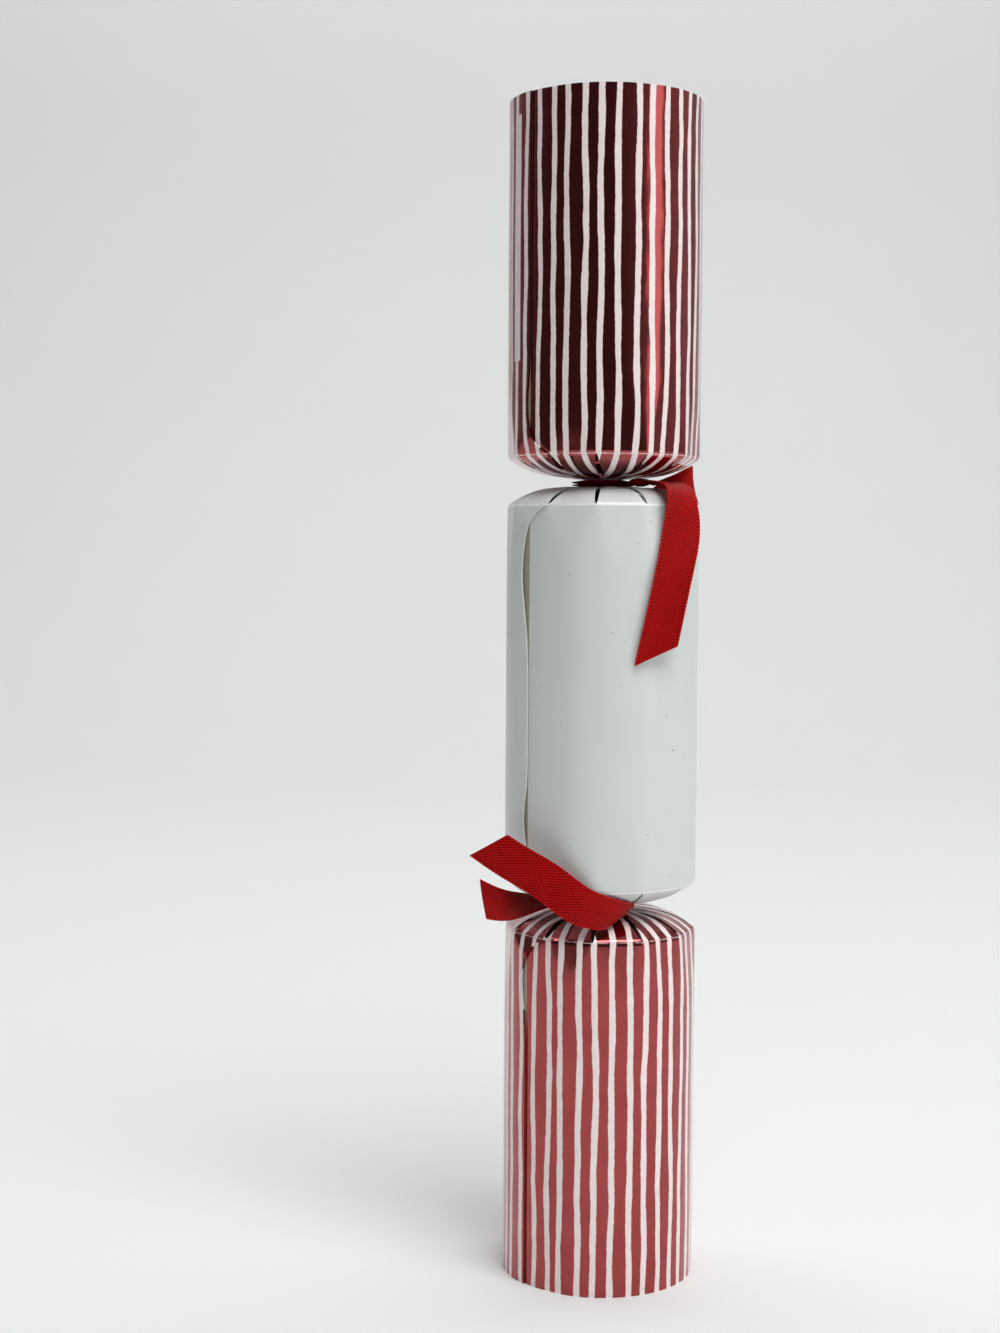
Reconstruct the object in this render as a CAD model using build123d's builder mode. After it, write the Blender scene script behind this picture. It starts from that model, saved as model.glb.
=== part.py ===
"""A Christmas cracker: a rolled card tube drawn in at two necks and tied with ribbon.

The frame has +Z up the cracker's axis and its origin at the middle of the lower rim.
The viewer stands at -Y. Lengths are in millimetres and angles in degrees.
"""

import os
from math import atan, cos, degrees, hypot, pi, radians, sin, sqrt

from build123d import *

# The whole cracker
overall_length = 305.0
barrel_length = 98.0  # between the two creases of the middle section
neck_gap = 12.5  # from a crease of the barrel to the crease of the end that faces it

# The die-cut card that is rolled into the wrap
wrap_radius = 25.2
card = 0.45
petal_count = 12  # folded strips round each neck
slit_angle = 23.0  # direction of the first slit between two petals
facet_reach = 8.0  # how far the flats of the petals run on into the round tube
barrel_fold = 4.8  # height from a crease of the barrel to where its petals meet the neck
end_fold = 5.6  # the same for the petals of an end
barrel_dome = 0.9  # share of the barrel's fold that lies in the petals' bend behind the crease
end_dome = 0.65  # the same for an end
dome_steps = (0.0, 0.06, 0.15, 0.3, 0.55, 1.0)  # shares of the way in, between the flats of a bent petal
dome_power = 4  # how soon a bent petal levels off
neck_radius = 5.2
neck_bore = 4.0
slit_width = 1.1
slit_neck_width = 0.5
slit_inset = 0.5  # card left between the tip of a slit and the corner of the crease

# The glued seam, where the sheet overlaps itself
seam_edge = -142.0  # direction of the free edge of the outer layer
seam_rise = 22.0  # turn over which the inner layer comes up to the full radius
seam_lap = 28.0  # turn over which the two layers lie on each other
seam_gap = 0.1  # glue between the layers

# Liner tubes of plain board
liner_wall = 0.8
liner_fit = 0.1  # between a liner and the lap of the wrap
liner_short = 3.0  # a liner stops this far from a crease

# The snap: two card strips that rub past each other in a paper band
strip_width = 6.0
strip_card = 0.5
strip_overlap = 26.0
strip_bend = 12.0  # radius of the bends that take a strip out to the wall
strip_bend_below = 2.0  # the bend's corner, below the crease of the end
strip_rim_gap = 12.0  # a strip's glued tail stops this far from the rim
glue_gap = 0.05
patch_length = 9.0
patch_width = 4.0
patch_thickness = 0.14
patch_gap = 0.16  # between the two friction patches
patch_shift = 7.0  # the patches lie this far from the middle, each on its own side
band_paper = 0.2
band_slack = 0.12
band_length = 30.0

# Ribbon ties
ribbon_width = 10.0
ribbon_thickness = 0.4
ribbon_gather = 5.0  # width to which a tail is gathered where it leaves its knot
ribbon_cut = 27.0  # slant of the cut ends
ribbon_clear = 1.0  # between the wrap and the ribbon that hangs beside it
loop_radius = 6.9
loop_depth = 1.6  # half of the gathered ribbon's section, outwards
loop_height = 0.85  # half of the gathered ribbon's section, along the axis
knot_depth = 4.4
knot_breadth = 7.0
knot_height = 2.2
knot_round = 1.0
knot_clearance = 0.1
knot_shift = 0.2  # from the middle of the neck towards the end
upper_knot_angle = -32.0
lower_knot_angle = -70.0

# Contents of the barrel
crown_radius = 8.4
crown_turns = 3
crown_tissue = 0.6  # the folded layers together
crown_pitch = 1.25
crown_headroom = 8.0  # how much shorter the rolled crown is than the barrel
crown_place = (-12.8, 0.0)
crown_point_width = 5.6
crown_point_height = 9.0
motto_radius = 3.3
motto_turns = 2
motto_paper = 0.28
motto_pitch = 0.72
motto_height = 62.0
die_size = 12.0
die_round = 1.3
die_pip = 1.05
die_pip_depth = 0.45
die_pip_spread = 3.0
die_places = ((11.0, 7.2), (11.0, -7.2))
content_gap = 0.3  # between the contents and the floor that they stand on

# Levels up the axis
middle = overall_length / 2
barrel_low = middle - barrel_length / 2
barrel_high = middle + barrel_length / 2
end_crease = barrel_low - neck_gap
neck_length = neck_gap - end_fold - barrel_fold
tear_line = end_crease + end_fold
mid_plane = Plane.XY.offset(middle)

# Radii that follow from the wrap
seam_step = card + seam_gap
liner_outside = wrap_radius - seam_step - card - liner_fit
liner_inside = liner_outside - liner_wall
cut_over = 1.0  # how far a cutting tool runs past what it cuts


def flat(circumradius):
    """Distance from the axis to the flats of a petal polygon."""
    return circumradius * cos(pi / petal_count)


def corner(apothem):
    """Circumradius of a petal polygon whose flats are this far from the axis."""
    return apothem / cos(pi / petal_count)


def polar(radius, angle):
    """A point at this distance and direction from the axis."""
    return radius * cos(radians(angle)), radius * sin(radians(angle))


petal_run = flat(wrap_radius) - flat(neck_radius)
facet_angle = degrees(atan((wrap_radius - flat(wrap_radius)) / facet_reach))


def petal_side(fold, dome):
    """A petal seen from the side, from crease to neck: distances from the axis, heights from the crease."""
    side = []
    for step in dome_steps:
        bend = dome * (1 - (1 - step) ** dome_power) + (1 - dome) * step
        side.append((flat(wrap_radius) - petal_run * step, fold * bend))
    return side


def inner_side(side, skin):
    """The side of a petal, taken in by skin from its outer face."""
    lines = []
    for (outer, low), (inner, high) in zip(side, side[1:]):
        run, rise = outer - inner, high - low
        slope = hypot(run, rise)
        lines.append((outer - skin * rise / slope, low - skin * run / slope, rise / run))
    meets = [side[0][0] - skin]
    for (x, z, grade), (next_x, next_z, next_grade) in zip(lines, lines[1:]):
        meets.append((z + x * grade - next_z - next_x * next_grade) / (grade - next_grade))
    points = [(meet, z + (x - meet) * grade) for meet, (x, z, grade) in zip(meets, lines)]
    x, z, grade = lines[-1]
    return points + [(side[-1][0], z + (x - side[-1][0]) * grade)]


def card_space(skin, low, high, folds):
    """The room within the rolled card, taken in by skin from the card's outer face.

    Each fold is a crease level, its sense (1 folds upwards, -1 downwards), its height and its dome.
    """
    with BuildPart() as room:
        with BuildSketch(Plane.XY.offset(low)):
            Circle(wrap_radius - skin)
        extrude(amount=high - low)
        for crease, sense, fold, dome in folds:
            with BuildSketch(Plane.XY.offset(crease)):
                RegularPolygon(corner(flat(wrap_radius) - skin), petal_count, rotation=slit_angle)
            extrude(amount=-sense * (high - low), taper=-facet_angle, mode=Mode.INTERSECT)
        for crease, sense, fold, dome in folds:
            side = inner_side(petal_side(fold, dome), skin)
            for band in zip(side, side[1:]):
                for apothem, height in band:
                    with BuildSketch(Plane.XY.offset(crease + sense * height)):
                        RegularPolygon(corner(apothem), petal_count, rotation=slit_angle)
                loft(ruled=True)
    return room.part


def slit_outline():
    """One slit between two petals, widest half way in to the neck, lying along +X."""
    tip = wrap_radius - slit_inset
    root = neck_bore - cut_over
    half = (tip + root) / 2
    with BuildSketch() as outline:
        with BuildLine():
            ThreePointArc((tip, 0), (half, slit_width / 2), (root, slit_neck_width / 2))
            Line((root, slit_neck_width / 2), (root, -slit_neck_width / 2))
            ThreePointArc((root, -slit_neck_width / 2), (half, -slit_width / 2), (tip, 0))
        make_face()
    return outline.sketch


def slits():
    """The slits all round a neck."""
    with BuildSketch() as pattern:
        with PolarLocations(0, petal_count, start_angle=slit_angle):
            add(slit_outline())
    return pattern.sketch


def lap_radius(angle):
    """Outer radius of the sheet's inner layer, at a direction past the start of its dip."""
    share = (seam_edge + seam_rise - angle) / seam_rise
    return wrap_radius - seam_step * share * (2 - share)


seam_start = seam_edge + seam_rise
seam_half = seam_edge + seam_rise / 2
lap_end = seam_edge - seam_lap
lap_half = seam_edge - seam_lap / 2


def seam_tab():
    """Section of the sheet's inner layer, from where it leaves the round to its hidden edge."""
    with BuildSketch() as section:
        with BuildLine():
            for skin, outward in ((0, True), (card, False)):
                dip = [polar(lap_radius(a) - skin, a) for a in (seam_start, seam_half, seam_edge)]
                lap = [polar(wrap_radius - seam_step - skin, a) for a in (seam_edge, lap_half, lap_end)]
                ThreePointArc(*dip)
                ThreePointArc(*lap)
            for angle in (seam_start, lap_end):
                outer = wrap_radius if angle == seam_start else wrap_radius - seam_step
                Line(polar(outer, angle), polar(outer - card, angle))
        make_face()
    return section.sketch


def seam_notch():
    """Section of the air in front of the seam's free edge, where the inner layer dips."""
    outside = wrap_radius + cut_over
    with BuildSketch() as section:
        with BuildLine():
            ThreePointArc(*[polar(lap_radius(a), a) for a in (seam_start, seam_half, seam_edge)])
            Line(polar(wrap_radius - seam_step, seam_edge), polar(outside, seam_edge))
            ThreePointArc(*[polar(outside, a) for a in (seam_edge, seam_half, seam_start)])
            Line(polar(outside, seam_start), polar(wrap_radius, seam_start))
        make_face()
    return section.sketch


# Card wrap of the lower end: tube, seam and the petals that fold up to the neck
end_folds = [(end_crease, 1, end_fold, end_dome)]
end_seam = end_crease - facet_reach
with BuildPart() as lower_end_wrap:
    add(card_space(0, 0, end_crease, end_folds))
    add(card_space(card, -cut_over, end_crease, end_folds), mode=Mode.SUBTRACT)
    with BuildSketch():
        add(seam_tab())
    extrude(amount=end_seam)
    with BuildSketch(Plane.XY.offset(-cut_over)):
        add(seam_notch())
    extrude(amount=end_seam + cut_over, mode=Mode.SUBTRACT)
    with BuildSketch(Plane.XY.offset(end_crease - cut_over)):
        add(slits())
        Circle(neck_bore)
    extrude(amount=end_fold + 2 * cut_over, mode=Mode.SUBTRACT)
lower_end_wrap.part.label = "lower_end_wrap"

# Card wrap of the upper end, the mirror image of the lower one
with BuildPart() as upper_end_wrap:
    add(mirror(lower_end_wrap.part, about=mid_plane, mode=Mode.PRIVATE))
upper_end_wrap.part.label = "upper_end_wrap"

# Card wrap of the barrel, with petals and a drawn-in neck at both ends
barrel_folds = [(barrel_low, -1, barrel_fold, barrel_dome), (barrel_high, 1, barrel_fold, barrel_dome)]
neck_reach = barrel_fold + neck_length
with BuildPart() as barrel_wrap:
    add(card_space(0, barrel_low, barrel_high, barrel_folds))
    for level, sense in ((barrel_low, -1), (barrel_high, 1)):
        with BuildSketch(Plane.XY.offset(level + sense * barrel_fold)):
            RegularPolygon(neck_radius, petal_count, rotation=slit_angle)
        extrude(amount=sense * neck_length)
    add(card_space(card, barrel_low, barrel_high, barrel_folds), mode=Mode.SUBTRACT)
    with BuildSketch(Plane.XY.offset(barrel_low + facet_reach)):
        add(seam_tab())
    extrude(amount=barrel_length - 2 * facet_reach)
    with BuildSketch(Plane.XY.offset(barrel_low + facet_reach)):
        add(seam_notch())
    extrude(amount=barrel_length - 2 * facet_reach, mode=Mode.SUBTRACT)
    for level, sense in ((barrel_low, -1), (barrel_high, 1)):
        with BuildSketch(Plane.XY.offset(level - sense * cut_over)):
            add(slits())
            Circle(neck_bore)
        extrude(amount=sense * (neck_reach + 2 * cut_over), mode=Mode.SUBTRACT)
barrel_wrap.part.label = "barrel_wrap"


def liner(low, high):
    """A plain board tube between two levels."""
    with BuildPart() as tube:
        with BuildSketch(Plane.XY.offset(low)):
            Circle(liner_outside)
            Circle(liner_inside, mode=Mode.SUBTRACT)
        extrude(amount=high - low)
    return tube.part


# Board liners, one in each section
with BuildPart() as lower_end_liner:
    add(liner(0, end_crease - liner_short))
lower_end_liner.part.label = "lower_end_liner"

with BuildPart() as barrel_liner:
    add(liner(barrel_low + liner_short, barrel_high - liner_short))
barrel_liner.part.label = "barrel_liner"

with BuildPart() as upper_end_liner:
    add(mirror(lower_end_liner.part, about=mid_plane, mode=Mode.PRIVATE))
upper_end_liner.part.label = "upper_end_liner"

# Lower snap strip: down the axis, through the neck and out to the wall, where its tail is glued
strip_x = patch_gap / 2 + patch_thickness + strip_card / 2
strip_wall = sqrt(liner_inside**2 - (strip_width / 2) ** 2) - glue_gap - strip_card / 2
strip_corner = end_crease - strip_bend_below
strip_tip = middle + strip_overlap / 2
with BuildPart() as lower_snap_strip:
    with BuildSketch(Plane.XZ):
        with BuildLine():
            FilletPolyline(
                (-strip_x, strip_tip),
                (-strip_x, strip_corner),
                (-strip_wall, strip_corner - (strip_wall - strip_x)),
                (-strip_wall, strip_rim_gap),
                radius=strip_bend,
            )
        trace(line_width=strip_card)
    extrude(amount=strip_width / 2, both=True)
lower_snap_strip.part.label = "lower_snap_strip"

# Upper snap strip, the lower one turned over about the middle of the cracker
snap_turn = Axis((0, 0, middle), (0, 1, 0))
with BuildPart() as upper_snap_strip:
    add(lower_snap_strip.part.rotate(snap_turn, 180))
upper_snap_strip.part.label = "upper_snap_strip"

# Friction patches on the facing sides of the two strips
with BuildPart() as snap_charge:
    with BuildSketch(Plane.YZ.offset(-patch_gap / 2 - patch_thickness)):
        with Locations((0, middle + patch_shift)):
            RectangleRounded(patch_width, patch_length, patch_width / 4)
    extrude(amount=patch_thickness)
snap_charge.part.label = "snap_charge"

with BuildPart() as snap_striker:
    add(snap_charge.part.rotate(snap_turn, 180))
snap_striker.part.label = "snap_striker"

# Paper band round the overlap, glued to the lower strip
band_low_x = -strip_x - strip_card / 2
band_high_x = -band_low_x + band_slack
band_x = (band_low_x + band_high_x) / 2
band_room = band_high_x - band_low_x
with BuildPart() as snap_band:
    with BuildSketch(Plane.XY.offset(middle - band_length / 2)):
        with Locations((band_x, 0)):
            Rectangle(band_room + 2 * band_paper, strip_width + 2 * (band_slack + band_paper))
            Rectangle(band_room, strip_width + 2 * band_slack, mode=Mode.SUBTRACT)
    extrude(amount=band_length)
snap_band.part.label = "snap_band"


def loop(level):
    """Ribbon gathered into a ring round a neck."""
    with BuildPart() as ring:
        with BuildSketch(Plane.XZ):
            with Locations((loop_radius, level)):
                Ellipse(loop_depth, loop_height)
        revolve(axis=Axis.Z)
    return ring.part


def knot(level, angle):
    """The tie's knot, lying against the loop in the given direction."""
    place = polar(loop_radius + loop_depth + knot_clearance + knot_depth / 2, angle)
    with BuildPart(Plane((*place, level)).rotated((0, 0, angle))) as lump:
        Box(knot_depth, knot_breadth, knot_height)
        fillet(lump.edges(), knot_round)
    return lump.part


def route(stations, crease, sense, knot_angle, start):
    """Places of a tail's stations round the barrel.

    A station is a share of the way from the start radius to just outside the wrap, a turn from the
    knot, a level from the crease towards the neck, then the lie of the ribbon's width: its skew from
    the tangent and its tilt.
    """
    places = []
    for out, turn, level, skew, tilt in stations:
        angle = knot_angle + turn
        radius = start + out * (wrap_radius + ribbon_clear - start)
        places.append((*polar(radius, angle), crease + sense * level, angle + 90 + skew, tilt))
    return places


def tail(stations):
    """A free end of ribbon, gathered at the knot, opening to its full width and cut on the slant.

    A station is the middle of the ribbon, then the direction of its width: a heading and a rise.
    """
    near, far = [], []
    for x, y, z, heading, rise in stations:
        width = ribbon_width if near else ribbon_gather
        half = Vector(*polar(cos(radians(rise)), heading), sin(radians(rise))) * (width / 2)
        near.append(Vector(x, y, z) - half)
        far.append(Vector(x, y, z) + half)
    with BuildLine():
        near_edge = Spline(*near)
        far_edge = Spline(*far)
    slant = ribbon_width * sin(radians(ribbon_cut)) / cos(radians(ribbon_cut)) / far_edge.length
    ribbon = Face.make_surface_from_curves(near_edge.trim(0, 1), far_edge.trim(0, 1 - slant))
    with BuildPart() as strip:
        thicken(ribbon, amount=ribbon_thickness / 2, both=True)
    return strip.part


# Where the tails start: beside the knot, against its outer face, or against the loop
loop_face = loop_radius + loop_depth + knot_clearance
knot_face = loop_face + knot_depth + knot_clearance
knot_side = degrees(atan((knot_breadth / 2 + 2 * knot_clearance) / (knot_face - ribbon_gather / 2)))
knot_level = barrel_fold + neck_length / 2 + knot_shift  # from the crease of the barrel

# Ribbon round the upper neck
upper_tie = barrel_high + barrel_fold + neck_length / 2
upper_front_route = [
    (0.0, 0.0, knot_level, 0.0, 0.0),
    (0.54, -5.5, knot_level - 0.2, -1.3, 0.0),
    (0.98, -13.0, 3.7, 0.0, 0.0),
    (1.11, -14.8, -3.5, -18.8, 0.0),
    (1.17, -21.4, -16.5, -26.6, 0.0),
    (1.10, -32.6, -40.5, -19.4, 0.0),
]
upper_back_route = [
    (0.0, knot_side, knot_level, 74.0, 10.0),
    (0.41, knot_side + 20.8, knot_level - 0.1, 37.0, 10.0),
    (0.95, knot_side + 28.8, knot_level - 0.1, 50.0, 80.0),
    (1.10, knot_side + 57.8, 3.0, 60.0, 52.0),
    (1.13, knot_side + 80.0, -7.0, 8.0, 34.0),
    (1.08, knot_side + 90.0, -26.0, 0.0, 12.0),
]
with BuildPart() as upper_ribbon_loop:
    add(loop(upper_tie))
upper_ribbon_loop.part.label = "upper_ribbon_loop"

with BuildPart() as upper_ribbon_knot:
    add(knot(upper_tie + knot_shift, upper_knot_angle))
upper_ribbon_knot.part.label = "upper_ribbon_knot"

with BuildPart() as upper_ribbon_front_tail:
    add(tail(route(upper_front_route, barrel_high, 1, upper_knot_angle, knot_face)))
upper_ribbon_front_tail.part.label = "upper_ribbon_front_tail"

with BuildPart() as upper_ribbon_back_tail:
    add(tail(route(upper_back_route, barrel_high, 1, upper_knot_angle, knot_face)))
upper_ribbon_back_tail.part.label = "upper_ribbon_back_tail"

# Ribbon round the lower neck
lower_tie = barrel_low - barrel_fold - neck_length / 2
lower_front_route = [
    (0.0, 0.0, knot_level, 0.0, 0.0),
    (0.53, -7.1, knot_level + 0.5, 21.5, 31.0),
    (1.06, -32.0, 3.0, 14.0, 52.0),
    (1.29, -47.8, -2.9, 27.8, 57.0),
    (1.59, -62.6, -8.1, 34.6, 57.0),
    (1.98, -73.6, -13.5, 43.6, 57.0),
]
lower_back_route = [
    (0.0, -104.7, knot_level - knot_shift, 0.0, 0.0),
    (0.46, -103.8, knot_level + 0.1, 1.8, -14.0),
    (0.92, -102.1, knot_level + 0.6, 2.1, -42.0),
    (1.42, -101.8, 4.2, -46.0, -58.0),
]
with BuildPart() as lower_ribbon_loop:
    add(loop(lower_tie))
lower_ribbon_loop.part.label = "lower_ribbon_loop"

with BuildPart() as lower_ribbon_knot:
    add(knot(lower_tie - knot_shift, lower_knot_angle))
lower_ribbon_knot.part.label = "lower_ribbon_knot"

with BuildPart() as lower_ribbon_front_tail:
    add(tail(route(lower_front_route, barrel_low, -1, lower_knot_angle, knot_face)))
lower_ribbon_front_tail.part.label = "lower_ribbon_front_tail"

with BuildPart() as lower_ribbon_back_tail:
    add(tail(route(lower_back_route, barrel_low, -1, lower_knot_angle, loop_face)))
lower_ribbon_back_tail.part.label = "lower_ribbon_back_tail"


def floor_level(radius):
    """Height of the barrel's inner floor at a distance from the axis, just clear of its petals."""
    side = inner_side(petal_side(barrel_fold, barrel_dome), card)
    for (outer, low), (inner, high) in zip(side, side[1:]):
        if inner <= radius:
            return barrel_low - low - (outer - radius) * (high - low) / (outer - inner) + content_gap
    return barrel_low - side[-1][1] + content_gap


def roll(place, level, radius, turns, paper, pitch, height):
    """A sheet of paper rolled up: half circles about two centres, each tighter than the last."""
    with BuildPart() as scroll:
        with BuildSketch(Plane((*place, level))):
            with BuildLine():
                for half in range(2 * turns):
                    centre = (pitch / 4, 0) if half % 2 else (-pitch / 4, 0)
                    CenterArc(centre, radius - paper / 2 - pitch / 2 * half - pitch / 4, 180 * half, 180)
            trace(line_width=paper)
        extrude(amount=height)
    return scroll.part


# Tissue crown, rolled up, with its points at the top
crown_floor = floor_level(hypot(*crown_place) + crown_radius)
crown_height = barrel_length - crown_headroom
with BuildPart() as paper_crown:
    add(roll(crown_place, crown_floor, crown_radius, crown_turns, crown_tissue, crown_pitch, crown_height))
    with BuildSketch(Plane.XZ.offset(crown_radius * 2)):
        with Locations((crown_place[0], crown_floor + crown_height)):
            with GridLocations(crown_point_width, 0, 3, 1):
                Triangle(
                    a=crown_point_width,
                    b=hypot(crown_point_width / 2, crown_point_height),
                    c=hypot(crown_point_width / 2, crown_point_height),
                    rotation=180,
                    align=(Align.CENTER, Align.MIN),
                )
    extrude(amount=-crown_radius * 4, mode=Mode.SUBTRACT)
paper_crown.part.label = "paper_crown"

# Motto slip, rolled up in the hollow of the crown
with BuildPart() as motto_slip:
    add(roll(crown_place, crown_floor, motto_radius, motto_turns, motto_paper, motto_pitch, motto_height))
motto_slip.part.label = "motto_slip"

# Where the pips of a die sit on a face, as shares of the spread
pip_layouts = {
    1: [(0, 0)],
    2: [(-1, -1), (1, 1)],
    3: [(-1, -1), (0, 0), (1, 1)],
    4: [(-1, -1), (-1, 1), (1, -1), (1, 1)],
    5: [(-1, -1), (-1, 1), (0, 0), (1, -1), (1, 1)],
    6: [(-1, -1), (-1, 0), (-1, 1), (1, -1), (1, 0), (1, 1)],
}


def die(place):
    """A small gaming die, standing on the floor of the barrel."""
    half = die_size / 2 - die_round
    reach = hypot(abs(place[0]) + half, abs(place[1]) + half) + die_round / 2
    centre = Vector(*place, floor_level(reach) + die_size / 2)
    sides = ((Plane.XY, 1), (Plane.YZ, 2), (Plane.ZX, 3))
    with BuildPart(Plane(centre)) as cube:
        Box(die_size, die_size, die_size)
        fillet(cube.edges(), die_round)
        for side, pips in sides:
            for sense, count in ((1, pips), (-1, 7 - pips)):
                face = Plane(centre + side.z_dir * sense * die_size / 2, x_dir=side.x_dir, z_dir=side.z_dir)
                spots = [(a * die_pip_spread, b * die_pip_spread) for a, b in pip_layouts[count]]
                with BuildSketch(face):
                    with Locations(*spots):
                        Circle(die_pip)
                extrude(amount=-sense * die_pip_depth, mode=Mode.SUBTRACT)
    return cube.part


# The gift: a pair of dice
with BuildPart() as first_die:
    add(die(die_places[0]))
first_die.part.label = "first_die"

with BuildPart() as second_die:
    add(die(die_places[1]))
second_die.part.label = "second_die"

pieces = [
    lower_end_wrap, barrel_wrap, upper_end_wrap,
    lower_end_liner, barrel_liner, upper_end_liner,
    lower_snap_strip, upper_snap_strip, snap_charge, snap_striker, snap_band,
    upper_ribbon_loop, upper_ribbon_knot, upper_ribbon_front_tail, upper_ribbon_back_tail,
    lower_ribbon_loop, lower_ribbon_knot, lower_ribbon_front_tail, lower_ribbon_back_tail,
    paper_crown, motto_slip, first_die, second_die,
]
os.makedirs("parts", exist_ok=True)
for piece in pieces:
    export_step(piece.part, f"parts/{piece.part.label}.step")
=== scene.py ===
import math
from collections import namedtuple

import bpy
import numpy as np
from mathutils import Matrix, Vector, noise


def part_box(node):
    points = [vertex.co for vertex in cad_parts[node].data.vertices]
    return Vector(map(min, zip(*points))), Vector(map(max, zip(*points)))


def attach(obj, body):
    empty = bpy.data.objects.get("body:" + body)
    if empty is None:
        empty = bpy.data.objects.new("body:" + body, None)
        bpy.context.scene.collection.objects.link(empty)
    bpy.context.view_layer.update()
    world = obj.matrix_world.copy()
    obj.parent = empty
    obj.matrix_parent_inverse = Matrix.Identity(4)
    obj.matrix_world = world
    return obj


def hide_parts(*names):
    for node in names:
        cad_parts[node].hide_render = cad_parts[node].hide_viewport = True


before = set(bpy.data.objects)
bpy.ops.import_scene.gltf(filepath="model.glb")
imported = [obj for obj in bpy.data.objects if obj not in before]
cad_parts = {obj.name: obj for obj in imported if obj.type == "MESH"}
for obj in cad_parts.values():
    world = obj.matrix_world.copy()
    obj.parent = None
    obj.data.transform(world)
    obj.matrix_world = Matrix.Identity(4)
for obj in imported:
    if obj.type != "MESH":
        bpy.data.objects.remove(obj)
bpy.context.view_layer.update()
scene = bpy.context.scene
scene.view_settings.view_transform = "Standard"

# Sizes of the cracker, in millimetres and degrees, as in its CAD source
MM = 0.001
LENGTH = 305.0
RADIUS = 25.2
CARD = 0.45
PETALS = 12
PETAL_TURN = 360.0 / PETALS
SLIT_ANGLE = 23.0
BARREL_LOW, BARREL_HIGH = 103.5, 201.5
END_CREASE = 91.0
END_FOLD = 5.6
BARREL_FOLD = 4.8
END_DOME = 0.65
BARREL_DOME = 0.9
DOME_POWER = 4
NECK_LENGTH = 2.1
NECK_RADIUS = 5.2
SLIT_WIDTH = 1.1
SLIT_NECK_WIDTH = 0.5
SEAM_EDGE = -142.0
SEAM_RISE = 22.0
SEAM_STEP = 0.55  # the card and the glue under it
PETAL_START = -127.0  # the slit where the sheet's petals begin and end
RIBBON = 10.0
RIBBON_GATHER = 5.0
RIBBON_CUT = 27.0
RIBBON_CLEAR = 1.0
LOOP_RADIUS = 6.9
LOOP_FACE = 8.6
KNOT_FACE = 13.1
KNOT_SIDE = 19.24
KNOT_SHIFT = 0.2
KNOT_LEVEL = BARREL_FOLD + NECK_LENGTH / 2 + KNOT_SHIFT
UPPER_KNOT, LOWER_KNOT = -32.0, -70.0
HALF_PETAL = math.radians(180 / PETALS)
APOTHEM = RADIUS * math.cos(HALF_PETAL)
NECK_APOTHEM = NECK_RADIUS * math.cos(HALF_PETAL)
FLAT_UNIT = 100.0  # millimetres of flat sheet in one unit of its UV map


def polar(radius, angle):
    """The point at a radius and an angle about the axis."""
    return radius * math.cos(math.radians(angle)), radius * math.sin(math.radians(angle))


def wave(x, y, z):
    """Smooth noise from -1 to 1, the same in every run."""
    return noise.noise(Vector((x, y, z)))


def ring_wave(angle, pace, z, seed_x=0.0, seed_y=0.0):
    """Smooth noise that closes on itself round the axis. A larger pace makes shorter waves."""
    x, y = polar(pace, angle)
    return wave(x + seed_x, y + seed_y, z)


# Meshes

def finish_mesh(node, mesh, materials, body, sharp):
    """Makes the piece that stands for a node: its materials, smooth faces and body; the node's own solid is
    hidden.
    """
    for material in materials:
        mesh.materials.append(material)
    piece = bpy.data.objects.new(node, mesh)
    scene.collection.objects.link(piece)
    mesh.polygons.foreach_set("use_smooth", [True] * len(mesh.polygons))
    mesh.set_sharp_from_angle(angle=math.radians(sharp))
    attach(piece, body)
    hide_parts(node)
    return piece


class Sheet:
    """A sheet in the making: its points, its faces and its flat coordinates."""

    def __init__(self):
        self.verts = []
        self.faces = []
        self.flat = []

    def add(self, point, flat):
        """Adds a point and gives its number."""
        self.verts.append(point)
        self.flat.append(flat)
        return len(self.verts) - 1

    def rows(self, grid, flip=False):
        """Adds the faces between rows of points."""
        for a, b in zip(grid, grid[1:]):
            for i in range(len(a) - 1):
                face = (a[i], a[i + 1], b[i + 1], b[i])
                self.faces.append(face[::-1] if flip else face)

    def mesh(self, name):
        """The sheet as a mesh, with its flat coordinates as a UV map."""
        mesh = bpy.data.meshes.new(name)
        mesh.from_pydata([Vector(v) * MM for v in self.verts], [], self.faces)
        layer = mesh.uv_layers.new(name="flat")
        for loop, corner in zip(mesh.loops, layer.data):
            u, v = self.flat[loop.vertex_index]
            corner.uv = (u / FLAT_UNIT, v / FLAT_UNIT)
        return mesh

    def thickened(self, thickness, offset=-1.0):
        """The sheet given its thickness. Its second material lies on the inside and its cut edges."""
        mesh = self.mesh("sheet")
        mesh.materials.append(None)
        mesh.materials.append(None)
        holder = bpy.data.objects.new("holder", mesh)
        scene.collection.objects.link(holder)
        solid = holder.modifiers.new("solid", "SOLIDIFY")
        solid.thickness = thickness * MM
        solid.offset = offset
        solid.use_quality_normals = True
        solid.material_offset = 1
        solid.material_offset_rim = 1
        depsgraph = bpy.context.evaluated_depsgraph_get()
        result = bpy.data.meshes.new_from_object(holder.evaluated_get(depsgraph))
        bpy.data.objects.remove(holder)
        result.materials.clear()
        return result


# The rolled card wraps. Their finer forms are the scene's own.

Fold = namedtuple("Fold", "crease sense height dome neck")  # the petals of a crease, and the neck past them
Gap = namedtuple("Gap", "level reach size")  # where the seam's free edge stands back

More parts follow.
